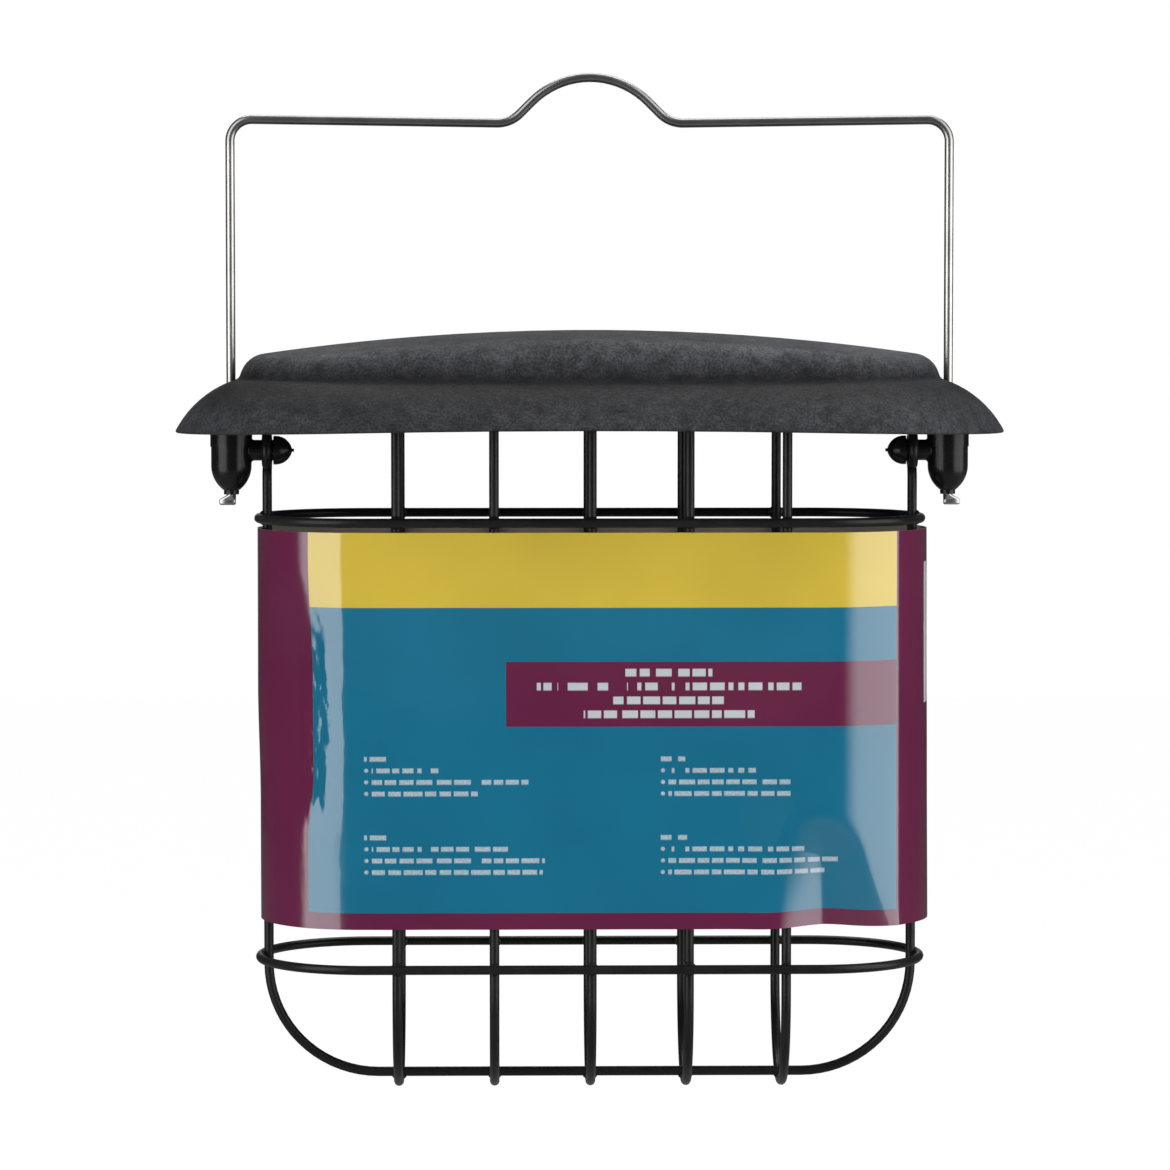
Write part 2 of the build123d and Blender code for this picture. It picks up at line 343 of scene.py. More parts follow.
def lid_moulding():
    """Dark grey moulded lid with a spark-eroded grain, paler rubbed specks and handling scuffs, painted
    shade in its crease, and painted light above it and towards its right end.
    """
    finish, tree, shader, place = new_finish("lid_moulding")
    fine = grain(tree, place, 0.6 * MM, detail=3.0, roughness=0.65)
    pits = grain(tree, place, 1.3 * MM)
    blotches = grain(tree, place, 3.4 * MM, detail=3.0, roughness=0.6)
    clouds = grain(tree, place, 16 * MM, detail=4.0, roughness=0.6)
    drawn_out = put(tree, "ShaderNodeMapping", {"Vector": place, "Scale": (0.22, 1.0, 1.0)}).outputs[0]
    streaks = grain(tree, drawn_out, 0.8 * MM, detail=3.0, roughness=0.6)
    relief = maths(tree, "ADD", fine, maths(tree, "MULTIPLY", pits, 0.8))
    patchy = maths(
        tree, "ADD", maths(tree, "MULTIPLY", blotches, 0.6), maths(tree, "MULTIPLY", clouds, 0.4)
    )
    body = mix_colours(tree, spread(tree, patchy, 0.38, 0.62), lid_dark, lid_light)
    split = parts_of(tree, place)
    over = maths(tree, "SUBTRACT", split[2], lid_crease_z)
    # Painted shade darkens the colour at the crease; painted light brightens the wall's top and the
    # shoulder.
    wall = spread(tree, over, *wall_rise, 0.25, 1.5)
    wall = maths(tree, "MULTIPLY", wall, spread(tree, over, *shoulder_rise, 1.0, 0.70))
    eave = spread(tree, over, *eave_fall, 0.16, 0.95)
    painted_light_and_shade = maths(tree, "MAXIMUM", wall, eave)
    # Painted light: paler towards the lid's right end.
    painted_light_and_shade = maths(tree, "MULTIPLY", painted_light_and_shade, spread(tree, split[0], *painted_light_run, 1.0, 1.3))
    tone = maths(tree, "MULTIPLY", painted_light_and_shade, spread(tree, fine, 0.38, 0.62, 0.60, 1.40))
    body = scaled(tree, body, tone)
    # The paler specks and scuffs grow with the painted light as well as with the random wear pattern.
    wear_and_painted_light = maths(tree, "MULTIPLY", painted_light_and_shade, spread(tree, clouds, 0.42, 0.62, 0.25, 1.0), clamp=True)
    specks = maths(tree, "MULTIPLY", spread(tree, pits, 0.62, 0.74), wear_and_painted_light)
    scuffs = maths(tree, "MULTIPLY", spread(tree, streaks, 0.60, 0.74), wear_and_painted_light)
    colour = mix_colours(tree, maths(tree, "MULTIPLY", specks, 0.40), body, lid_rubbed)
    colour = mix_colours(tree, maths(tree, "MULTIPLY", scuffs, 0.35), colour, lid_rubbed)
    roughness = spread(tree, fine, 0.3, 0.7, 0.66, 0.50)
    normal = bump(tree, relief, 0.10 * MM)
    join(tree, shader, Base_Color=colour, Roughness=roughness, Normal=normal, Specular_IOR_Level=0.12)
    return finish


# Printed card. Its prints lie on the sleeve's own map, in millimetres: U runs round the sleeve from the
# middle of the front towards the right, and V runs up from the sleeve's lower edge.

card_purple = (0.146, 0.0155, 0.063, 1)
card_yellow = (0.715, 0.525, 0.055, 1)
card_teal = (0.007, 0.170, 0.292, 1)
card_pale = (0.72, 0.80, 0.83, 1)
card_white = (0.90, 0.90, 0.90, 1)
card_raw = (0.42, 0.36, 0.29, 1)
card_fibre = (0.50, 0.44, 0.36, 1)

fold_left = -70.2
fold_right = 76.2
side_width = 55.9  # from a front fold to the back fold beyond it
back_left = fold_left - side_width
back_right = fold_right + side_width
yellow_height = 18.4
border_height = 4.1
band_left = -21.1
band_bottom = 50.1
band_top = 66.1
plain_patch_left = 89.7
plain_patch_right = 114.7
plain_patch_bottom = 54.4
plain_patch_top = 89.6
print_edge = 0.08  # how soft a field's edge is

small_pitch = 2.86
small_stroke = 1.2
small_tops = (42.8, 23.4)
small_blocks = (  # left edge, top and how long each row is
    (-56.0, small_tops[0], (6.0, 17.0, 38.5, 26.0)),
    (-56.0, small_tops[1], (6.0, 33.5, 42.5, 42.0)),
    (16.9, small_tops[0], (6.0, 21.5, 30.0, 30.0)),
    (16.9, small_tops[1], (6.5, 33.5, 42.5, 39.5)),
)
large_pitch = 3.42
large_stroke = 1.9
large_middle = 18.95
large_top = 64.4
large_rows = (23.0, 65.0, 27.5, 42.0)

stroke_edge = 0.15  # how soft a dash's edge is
dash_scale = 0.24
dash_gap = 0.075
row_salt = 7.31  # sets the rows' dashes apart from one another
dot_indent = 1.9
dot_place = 0.55
dot_radius = 0.5


def print_rows(tree, u, v, edge, top, lengths, pitch, stroke, centred=False):
    """Rows of plain pale dashes, started at an edge or centred on it.

    Of rows that start at an edge, each but the first has a dot before it."""
    down = maths(tree, "SUBTRACT", top, v)
    row = maths(tree, "FLOOR", maths(tree, "DIVIDE", down, pitch))
    within = maths(tree, "SUBTRACT", down, maths(tree, "MULTIPLY", row, pitch))
    share = maths(tree, "DIVIDE", maths(tree, "ADD", row, 0.5), len(lengths))
    table = put(tree, "ShaderNodeValToRGB", {"Fac": share})
    stops = table.color_ramp.elements
    table.color_ramp.interpolation = "CONSTANT"
    for index, length in enumerate(lengths):
        stop = stops[index] if index < 2 else stops.new(index / len(lengths))
        stop.position = index / len(lengths)
        stop.color = (length / max(lengths),) * 3 + (1,)
    run = maths(tree, "MULTIPLY", table.outputs[0], max(lengths))
    later = maths(tree, "GREATER_THAN", row, 0.5)
    if centred:
        start = maths(tree, "SUBTRACT", edge, maths(tree, "MULTIPLY", run, 0.5))
    else:
        start = maths(tree, "ADD", edge, maths(tree, "MULTIPLY", later, dot_indent))
    past = maths(tree, "SUBTRACT", u, start)
    own_row = maths(tree, "MULTIPLY", row, row_salt)
    line = put(tree, "ShaderNodeCombineXYZ", {"X": u, "Y": own_row, "Z": top}).outputs[0]
    cells = put(
        tree,
        "ShaderNodeTexVoronoi",
        {"Vector": line, "Scale": dash_scale, "Randomness": 0.8},
        feature="DISTANCE_TO_EDGE",
        voronoi_dimensions="2D",
    ).outputs["Distance"]
    result = between(tree, within, 0.0, stroke, stroke_edge)
    for limit in (
        maths(tree, "GREATER_THAN", cells, dash_gap),
        maths(tree, "GREATER_THAN", past, 0.0),
        maths(tree, "LESS_THAN", past, run),
    ):
        result = maths(tree, "MULTIPLY", result, limit)
    if not centred:
        across = maths(tree, "SUBTRACT", u, edge + dot_place)
        below = maths(tree, "SUBTRACT", within, stroke / 2)
        spot = put(tree, "ShaderNodeCombineXYZ", {"X": across, "Y": below}).outputs[0]
        away = put(tree, "ShaderNodeVectorMath", {0: spot}, operation="LENGTH").outputs["Value"]
        dot = maths(tree, "MULTIPLY", later, between(tree, away, -1.0, dot_radius, 0.1))
        result = maths(tree, "MAXIMUM", result, dot)
    return maths(tree, "MULTIPLY", result, between(tree, row, -0.5, len(lengths) - 0.5, 0.01))


def printed_card():
    """Varnished card: fields of teal, yellow and purple outside, raw board inside and at its edges."""
    finish, tree, shader, place = new_finish("printed_card")
    card_map = put(tree, "ShaderNodeUVMap", uv_map="print").outputs[0]
    printed = put(tree, "ShaderNodeAttribute", attribute_name="printed").outputs["Fac"]
    split = parts_of(tree, card_map)
    u = maths(tree, "MULTIPLY", split[0], 1 / MM)
    v = maths(tree, "MULTIPLY", split[1], 1 / MM)
    height = sleeve_extent.z / MM

    def field(left, right, bottom, top):
        """1 within an upright rectangle of the card's map."""
        wide = between(tree, u, left, right, print_edge)
        return maths(tree, "MULTIPLY", wide, between(tree, v, bottom, top, print_edge))

    front = between(tree, u, fold_left, fold_right, print_edge)
    back = maths(tree, "SUBTRACT", 1.0, between(tree, u, back_left, back_right, print_edge))
    face = maths(tree, "MAXIMUM", front, back)
    lower = between(tree, v, border_height, height - yellow_height, print_edge)
    upper = between(tree, v, height - yellow_height, height + 1, print_edge)
    band = field(band_left, fold_right, band_bottom, band_top)
    patch = field(plain_patch_left, plain_patch_right, plain_patch_bottom, plain_patch_top)
    colour = mix_colours(tree, maths(tree, "MULTIPLY", face, lower), card_purple, card_teal)
    colour = mix_colours(tree, maths(tree, "MULTIPLY", face, upper), colour, card_yellow)
    colour = mix_colours(tree, band, colour, card_purple)
    colour = mix_colours(tree, patch, colour, card_white)
    small = 0.0
    for edge, top, lengths in small_blocks:
        rows = print_rows(tree, u, v, edge, top, lengths, small_pitch, small_stroke)
        small = maths(tree, "MAXIMUM", small, rows)
    large = print_rows(
        tree, u, v, large_middle, large_top, large_rows, large_pitch, large_stroke, centred=True
    )
    mottle = spread(tree, grain(tree, card_map, 0.5 * MM), 0.35, 0.65, 0.45, 0.75)
    colour = mix_colours(tree, maths(tree, "MULTIPLY", small, mottle), colour, card_pale)
    colour = mix_colours(tree, maths(tree, "MULTIPLY", large, 0.82), colour, card_pale)

    fibre = grain(tree, place, 0.7 * MM, detail=3.0)
    shade = spread(tree, grain(tree, place, 30 * MM), 0.3, 0.7, 0.94, 1.06)
    board = mix_colours(tree, fibre, card_raw, card_fibre)
    colour = mix_colours(tree, printed, board, scaled(tree, colour, shade))
    roughness = spread(tree, printed, 0.0, 1.0, 0.8, 0.16)
    ripple = maths(tree, "ADD", fibre, maths(tree, "MULTIPLY", grain(tree, place, 5 * MM), 3.0))
    normal = bump(tree, ripple, 0.012 * MM)
    join(
        tree,
        shader,
        Base_Color=colour,
        Roughness=roughness,
        Coat_Weight=printed,
        Coat_Roughness=0.04,
        Coat_IOR=1.5,
        Normal=normal,
    )
    return finish


# Geometry nodes

def group_with(name, inputs, output):
    """A geometry node tree with named inputs; returns it with its input and output nodes."""
    tree = bpy.data.node_groups.new(name, "GeometryNodeTree")
    for label, kind in inputs:
        tree.interface.new_socket(name=label, in_out="INPUT", socket_type=kind)
    tree.interface.new_socket(name=output, in_out="OUTPUT", socket_type="NodeSocketGeometry")
    start = tree.nodes.new("NodeGroupInput")
    end = tree.nodes.new("NodeGroupOutput")
    return tree, start, end


def drawn_wire_tree():
    """Round wire along a path of edges; each point remembers how far along and where round it lies."""
    tree, start, end = group_with(
        "drawn wire",
        [
            ("Path", "NodeSocketGeometry"),
            ("Diameter", "NodeSocketFloat"),
            ("Sides", "NodeSocketInt"),
            ("Finish", "NodeSocketMaterial"),
        ],
        "Wire",
    )
    path = put(tree, "GeometryNodeMeshToCurve", {"Mesh": start.outputs["Path"]})
    along = put(tree, "GeometryNodeSplineParameter").outputs["Length"]
    kept_along = put(tree, "GeometryNodeCaptureAttribute", domain="POINT")
    kept_along.capture_items.new("FLOAT", "Along")
    tree.links.new(path.outputs[0], kept_along.inputs["Geometry"])
    tree.links.new(along, kept_along.inputs["Along"])
    radius = maths(tree, "MULTIPLY", start.outputs["Diameter"], 0.5)
    circle = put(
        tree, "GeometryNodeCurvePrimitiveCircle", {"Resolution": start.outputs["Sides"], "Radius": radius}
    )
    kept_round = put(tree, "GeometryNodeCaptureAttribute", domain="POINT")
    kept_round.capture_items.new("VECTOR", "Round")
    tree.links.new(circle.outputs[0], kept_round.inputs["Geometry"])
    tree.links.new(put(tree, "GeometryNodeInputPosition").outputs[0], kept_round.inputs["Round"])
    sweep = put(
        tree,
        "GeometryNodeCurveToMesh",
        {
            "Curve": kept_along.outputs["Geometry"],
            "Profile Curve": kept_round.outputs["Geometry"],
            "Fill Caps": True,
        },
    )
    unit = scaled(tree, kept_round.outputs["Round"], maths(tree, "DIVIDE", 1.0, radius))
    sides = parts_of(tree, unit)
    place = put(
        tree, "ShaderNodeCombineXYZ", {"X": kept_along.outputs["Along"], "Y": sides[0], "Z": sides[1]}
    )
    stored = put(
        tree,
        "GeometryNodeStoreNamedAttribute",
        {"Geometry": sweep.outputs[0], "Name": "wire_place", "Value": place.outputs[0]},
        data_type="FLOAT_VECTOR",
        domain="POINT",
    )
    smooth = put(tree, "GeometryNodeSetShadeSmooth", {"Geometry": stored.outputs[0]})
    real = put(tree, "GeometryNodeRealizeInstances", {"Geometry": smooth.outputs[0]})
    finished = put(
        tree,
        "GeometryNodeSetMaterial",
        {"Geometry": real.outputs[0], "Material": start.outputs["Finish"]},
    )
    tree.links.new(finished.outputs[0], end.inputs[0])
    return tree


def weld_bead_tree():
    """A small bead on each point, with the half sizes that the point carries and a little unevenness."""
    tree, start, end = group_with(
        "weld beads",
        [
            ("Points", "NodeSocketGeometry"),
            ("Unevenness", "NodeSocketFloat"),
            ("Seed", "NodeSocketInt"),
            ("Finish", "NodeSocketMaterial"),
        ],
        "Beads",
    )
    cloud = put(tree, "GeometryNodeMeshToPoints", {"Mesh": start.outputs["Points"]})
    bead = put(tree, "GeometryNodeMeshIcoSphere", {"Radius": 1.0, "Subdivisions": 3})
    half = put(tree, "GeometryNodeInputNamedAttribute", {"Name": "half_size"}, data_type="FLOAT_VECTOR")
    low = maths(tree, "SUBTRACT", 1.0, start.outputs["Unevenness"])
    high = maths(tree, "ADD", 1.0, start.outputs["Unevenness"])
    uneven = put(tree, "FunctionNodeRandomValue", data_type="FLOAT")
    tree.links.new(low, uneven.inputs[2])
    tree.links.new(high, uneven.inputs[3])
    tree.links.new(start.outputs["Seed"], uneven.inputs["Seed"])
    scale = scaled(tree, half.outputs[0], uneven.outputs[1])
    placed = put(
        tree,
        "GeometryNodeInstanceOnPoints",
        {"Points": cloud.outputs[0], "Instance": bead.outputs[0], "Scale": scale},
    )
    real = put(tree, "GeometryNodeRealizeInstances", {"Geometry": placed.outputs[0]})
    smooth = put(tree, "GeometryNodeSetShadeSmooth", {"Geometry": real.outputs[0]})
    finished = put(
        tree,
        "GeometryNodeSetMaterial",
        {"Geometry": smooth.outputs[0], "Material": start.outputs["Finish"]},
    )
    tree.links.new(finished.outputs[0], end.inputs[0])
    return tree


def grown(name, carrier, tree, **values):
    """Runs a geometry node tree on a carrier mesh and returns the result as a plain object."""
    source = bpy.data.objects.new(name + "_source", carrier)
    bpy.context.scene.collection.objects.link(source)
    modifier = source.modifiers.new("nodes", "NODES")
    modifier.node_group = tree
    for item in tree.interface.items_tree:
        label = item.name.replace(" ", "_")
        if item.in_out == "INPUT" and label in values:
            modifier[item.identifier] = values[label]
    evaluated = source.evaluated_get(bpy.context.evaluated_depsgraph_get())
    mesh = bpy.data.meshes.new_from_object(evaluated)
    bpy.data.objects.remove(source)
    mesh.name = name
    made = bpy.data.objects.new(name, mesh)
    bpy.context.scene.collection.objects.link(made)
    return made


# Paths

def hump_of(value, middle, width):
    """A smooth bell of height 1 about a middle."""
    return math.exp(-(((value - middle) / width) ** 2))


def eased(value, start, end):
    """0 before the start, 1 past the end, and a smooth way between them."""
    share = min(1.0, max(0.0, (value - start) / (end - start)))
    return share * share * (3 - 2 * share)


def arc(centre, radius, start, turn, across, up):
    """Points of an arc in the plane of two directions, its first point included."""
    count = max(2, math.ceil(abs(turn) / arc_step))
    points = []
    for index in range(count + 1):
        angle = start + turn * index / count
        points.append(centre + radius * (math.cos(angle) * across + math.sin(angle) * up))
    return points


def bent(corners, radii, closed=False):
    """A polyline through corners, each rounded to its radius."""
    count = len(corners)
    points = []
    for index, corner in enumerate(corners):
        if not closed and index in (0, count - 1):
            points.append(corner)
            continue
        radius = radii[index] if closed else radii[index - 1]
        before = (corners[index - 1] - corner).normalized()
        after = (corners[(index + 1) % count] - corner).normalized()
        half_angle = before.angle(after) / 2
        centre = corner + (before + after).normalized() * (radius / math.sin(half_angle))
        first = corner + before * (radius / math.tan(half_angle)) - centre
        side = (-before).normalized()
        turn = math.pi - 2 * half_angle
        points += arc(centre, radius, 0.0, turn, first.normalized(), side)
    return points


def carrier(name, points, closed=False):
    """A mesh of edges only, along the points."""
    edges = [(index, index + 1) for index in range(len(points) - 1)]
    if closed:
        edges.append((len(points) - 1, 0))
    mesh = bpy.data.meshes.new(name)
    mesh.from_pydata([tuple(point) for point in points], edges, [])
    return mesh


def without_repeats(points, closed=False):
    """The points without those that fall on the one before."""
    kept = [points[0]]
    for point in points[1:]:
        if (point - kept[-1]).length > same_place:
            kept.append(point)
    if closed and (kept[0] - kept[-1]).length <= same_place:
        kept.pop()
    return kept


X = Vector((1, 0, 0))
Y = Vector((0, 1, 0))
Z = Vector((0, 0, 1))


def ring_path(height):
    """A ring's middle line: two straight sides and two round ends."""
    reach = half_side + ring_radius
    corners = [
        Vector((reach, ring_radius, height)),
        Vector((-reach, ring_radius, height)),
        Vector((-reach, -ring_radius, height)),
        Vector((reach, -ring_radius, height)),
    ]
    return without_repeats(bent(corners, [ring_radius] * 4, closed=True), closed=True)


def cross_path(place):
    """A cross wire's middle line, down the front, under and up the back."""
    bottom = cross_arc_z - cross_y
    corners = [
        Vector((place, -cross_y, cross_top)),
        Vector((place, -cross_y, bottom)),
        Vector((place, cross_y, bottom)),
        Vector((place, cross_y, cross_top)),
    ]
    return without_repeats(bent(corners, [cross_y, cross_y]))


def hoop_half(side):
    """The long hoop's middle line from an eye's end down to its bottom run."""
    middle = Vector((side * hoop_x, 0, pivot_z))
    reach = eye_radius + eye_bend_radius
    fall = math.sqrt(reach**2 - eye_bend_radius**2)
    bend_centre = middle + eye_bend_radius * Y - fall * Z
    meeting = math.atan2(-fall, eye_bend_radius)
    loop = arc(middle, eye_radius, meeting + eye_wrap, -eye_wrap, Y, Z)
    bend = arc(bend_centre, eye_bend_radius, math.pi + meeting, -meeting, Y, Z)
    corner_centre = Vector((side * (hoop_x - hoop_corner_radius), 0, hoop_bottom + hoop_corner_radius))
    corner = arc(corner_centre, hoop_corner_radius, 0.0, math.pi / 2, side * X, -Z)
    return loop + bend + corner


def hoop_path():
    """The whole hoop, from the left eye to the right one."""
    return without_repeats(hoop_half(-1) + hoop_half(1)[::-1])


def hanger_path():
    """The hanger's middle line: two legs, the bar and its hump."""
    foot_z = apex_z - hump_rise
    bar_z = foot_z + bar_fall
    vertex_z = apex_z + hump_crown_radius * (1 / math.cos(hump_flank) - 1)
    foot_x = (vertex_z - foot_z) / math.tan(hump_flank)
    half = [(leg_x, leg_end_z), (leg_x, bar_z), (foot_x, foot_z)]
    outline = [(-x, z) for x, z in half] + [(0, vertex_z)] + half[::-1]
    bends = [hanger_corner_radius, hump_foot_radius]
    radii = bends + [hump_crown_radius] + bends[::-1]
    return without_repeats(bent([Vector((x, 0, z)) for x, z in outline], radii))


# Pieces

def settle(piece, body, slot, *nodes):
    """Puts the piece on the body it rides on and hides the nodes that it stands for; the slot is not
    used.
    """
    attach(piece, body)
    if nodes:
        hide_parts(*nodes)


def wire(name, points, diameter, tree, finish, closed=False):
    """One round wire along points."""
    return grown(
        name, carrier(name, points, closed), tree, Diameter=diameter, Sides=wire_sides, Finish=finish
    )


def make_cage(tree, finish):
    """The cage's rings, cross wires and hoop, with the beads where they are welded."""
    beads = []
    heights = {}
    for node in ("rim_ring", "upper_ring", "lower_ring"):
        low, high, _ = size_of(node)
        heights[node] = (low.z + high.z) / 2
        piece = wire(node + "_wire", ring_path(heights[node]), ring_wire, tree, finish, closed=True)
        settle(piece, "cage", "black_wire", node)
    crosses = sorted(name for name in frame["nodes"] if name.startswith("cross_wire_"))
    for node in crosses:
        low, high, _ = size_of(node)
        place = (low.x + high.x) / 2
        piece = wire(node + "_bent", cross_path(place), cage_wire, tree, finish)
        settle(piece, "cage", "black_wire", node)
        contact_y = cross_y + cage_wire / 2
        for height in heights.values():
            for side in (-1, 1):
                spot = (place, side * contact_y, height)
                beads.append((spot, (bead_long, bead_thin, bead_tall)))
        beads.append(((place, 0, hoop_bottom - cage_wire / 2), (bead_long, bead_long, bead_thin)))
    for side in (-1, 1):
        for node in ("upper_ring", "lower_ring"):
            spot = (side * (hoop_x + cage_wire / 2), 0, heights[node])
            beads.append((spot, (bead_thin, bead_long, bead_tall)))
    hoop = wire("long_hoop_wire", hoop_path(), cage_wire, tree, finish)
    settle(hoop, "cage", "black_wire", "long_hoop")

    mesh = bpy.data.meshes.new("weld_points")
    mesh.from_pydata([spot for spot, _ in beads], [], [])
    sizes = mesh.attributes.new("half_size", "FLOAT_VECTOR", "POINT")
    for index, (spot, half) in enumerate(beads):
        sizes.data[index].vector = half
    welds = grown("weld_beads", mesh, weld_bead_tree(), Unevenness=0.12, Seed=5, Finish=finish)
    settle(welds, "cage", "black_wire")


def skin(name, rings, finish):
    """A closed smooth mesh over rings of points, with a cap at each end."""
    count = len(rings[0])
    vertices = [tuple(point) for loop in rings for point in loop]
    faces = []
    for level in range(len(rings) - 1):
        for index in range(count):
            after = (index + 1) % count
            a, b = level * count + index, level * count + after
            faces.append((a, b, b + count, a + count))
    faces.append(tuple(range(count))[::-1])
    faces.append(tuple(range((len(rings) - 1) * count, len(rings) * count)))
    mesh = bpy.data.meshes.new(name)
    mesh.from_pydata(vertices, [], faces)
    mesh.materials.append(finish)
    for polygon in mesh.polygons[:-2]:
        polygon.use_smooth = True
    made = bpy.data.objects.new(name, mesh)
    bpy.context.scene.collection.objects.link(made)
    return made


def pressed_end(side, finish):
    """The hanger's end, pressed flat and wider than its hole."""
    rings = []
    depth = spade_taper + spade_blade
    for level in range(spade_levels + 1):
        fall = depth * level / spade_levels
        share = eased(fall, 0.0, spade_taper)
        across = hanger_wire / 2 + (spade_width - hanger_wire) / 2 * share
        thick = hanger_wire / 2 + (spade_thickness - hanger_wire) / 2 * share
        nearing = max(0.0, (fall - depth + spade_rounding) / spade_rounding)
        across -= spade_tip_across * nearing**2
        thick -= spade_tip_thick * nearing**2
        centre = Vector((side * (leg_x + spade_lean * share), 0, leg_end_z - fall))
        loop = []
        for index in range(wire_sides):
            angle = -2 * math.pi * index / wire_sides
            loop.append(centre + across * math.cos(angle) * X + thick * math.sin(angle) * Y)
        rings.append(loop)
    return skin(f"hanger_end_{'left' if side < 0 else 'right'}", rings, finish)


def make_hanger(tree, finish):
    """The bright hanger with its pressed ends, as one piece."""
    hanger = wire("hanger", hanger_path(), hanger_wire, tree, finish)
    ends = [pressed_end(side, finish) for side in (-1, 1)]
    bpy.ops.object.select_all(action="DESELECT")
    for piece in [hanger] + ends:
        piece.select_set(True)
    bpy.context.view_layer.objects.active = hanger
    bpy.ops.object.join()
    settle(hanger, "hanger", "bright_steel", "hanger_wire")


# Card sleeve

card_thickness = 0.4 * MM
sleeve_radius = -sleeve_low.y - card_thickness / 2
lap_half = 6.0 * MM
column_step = 1.35
fine_column_step = 0.6  # where the card is crumpled
crumpled_from = -79.0
crumpled_to = -59.0
sleeve_rows = 122
lap_share = 0.56  # of the card's thickness, that each end moves to lie over or under the other

# How the card strays from its plain form. Places and lengths are millimetres on its map, and a pair
# says where a change begins and where it is complete.
wander = 0.10
wander_run, wander_rise, wander_seed = 30, 40, 3.1
wire_pitch = 24.0
wire_reach = 56
wire_stand = 0.10
fold_stand = ((fold_left, 0.12), (fold_right, 0.45), (back_left, 0.45), (back_right, 0.45))
fold_spread = 3.5

hollow_depth = 1.6
hollow_up = (22.0, 38.0)
hollow_down = (92.0, 62.0)
hollow_round = (-61.0, -70.5)
hollow_end = (-96.0, -75.0)
hollow_start, hollow_run, hollow_slope = -66.0, 9.0, 0.13
foot_stand = 0.3
foot_down = (30.0, 20.0)
foot_right, foot_left = -61.0, -100.0

dent_depth, dent_slope = 3.5, 0.07
dent_down = (29.0, 18.0)
dent_start, dent_run, dent_curve = 43.0, 14.0, 2.2
dent_end, dent_end_lean = 77.5, 0.42
dent_floor, dent_floor_lean = 62.0, 0.25
swell_share, swell_width = 0.31, 6.0
swell_down = (38.0, 20.0)

end_place = 97.5  # the middle of the sleeve's round ends
right_stand, right_spread = 2.3, 26.0
right_loss, right_loss_height = 0.25, 97.7  # the share of its stand that it loses, up to this height
left_stand, left_spread = 0.6, 20.0
left_up = (30.0, 60.0)

crinkle_place = (-68.0, 48.0)
crinkle_spread = (4.6, 24.0)
crinkle_slant = 9.0
crumple_run, crumple_rise, crumple_stand, crumple_seed = 3.4, 6.5, 0.30, 9.7
ridge_run, ridge_rise, ridge_stand, ridge_seed = 1.9, 3.6, 0.34, 2.2

lip_rise, lip_place, lip_width = 0.8, 57.0, 9.0
lip_down = (20.0, 0.0)


def stray(across, up, seed):
    """A smooth random value between -1 and 1."""
    return noise.noise(Vector((across, up, seed)))


def left_fold_lift(u, v):
    """The left fold, pressed in over the middle of its height and standing out below."""
    pressed = eased(v, *hollow_up) * eased(v, *hollow_down) * eased(u, *hollow_end)
    further = min(hollow_run, max(0.0, hollow_start - u))
    hollow = hollow_depth * eased(u, *hollow_round) + hollow_slope * further
    foot = eased(v, *foot_down) * eased(u, foot_right, fold_left) * eased(u, foot_left, fold_left)
    return foot_stand * foot - pressed * hollow


def dent_lift(u, v):
    """A loose dent at the right of the front, deepest at the lower edge, with a swell beside it."""
    depth = dent_depth - dent_slope * v
    fall = min(1.0, max(0.0, (u - dent_start) / dent_run)) ** dent_curve
    back = eased(u, dent_end - dent_end_lean * v, dent_floor - dent_floor_lean * v)
    swell = swell_share * eased(v, *swell_down) * hump_of(u, dent_start, swell_width)
    return depth * (swell - eased(v, *dent_down) * fall * back)


def crinkle_lift(u, v):
    """Crinkles where the card was squeezed, with sharp ridges."""
    zone = hump_of(u, crinkle_place[0], crinkle_spread[0])
    zone *= hump_of(v, crinkle_place[1], crinkle_spread[1])
    crumple = stray(u / crumple_run, v / crumple_rise + u / crinkle_slant, crumple_seed)
    ridge = 1 - abs(stray(u / ridge_run + v / crinkle_slant, v / ridge_rise, ridge_seed)) * 2
    return zone * (crumple_stand * crumple + ridge_stand * ridge**3)


def card_lift(u, v):
    """How far the card stands off its plain form, outwards, at a place on its map in millimetres."""
    lift = wander * stray(u / wander_run, v / wander_rise, wander_seed)
    # The card is drawn flat between the wires and stands proud over them.
    if abs(u) < wire_reach:
        lift += wire_stand * math.cos(2 * math.pi * u / wire_pitch)
    # The folds between the panels are softest at the left of the front.
    for fold, height in fold_stand:
        lift += height * math.exp(-abs(u - fold) / fold_spread)
    lift += left_fold_lift(u, v) + dent_lift(u, v) + crinkle_lift(u, v)
    # Both ends stand off the wire inside them, the right one further.
    loss = right_loss * v / right_loss_height
    lift += right_stand * hump_of(u, end_place, right_spread) * (1.0 - loss)
    lift += left_stand * hump_of(u, -end_place, left_spread) * eased(v, *left_up)
    return lift


def lower_edge_rise(u, v):
    """How far the card's lower edge is bent upwards over the dent, in millimetres."""
    return lip_rise * hump_of(u, lip_place, lip_width) * eased(v, *lip_down)


def column_places(start, end):
    """The places of the sleeve's columns, closer together where it is crumpled, in millimetres."""
    places = [start]
    while places[-1] < end - 0.01:
        here = places[-1]
        step = fine_column_step if crumpled_from <= here < crumpled_to else column_step
        places.append(min(end, here + step))
    return places


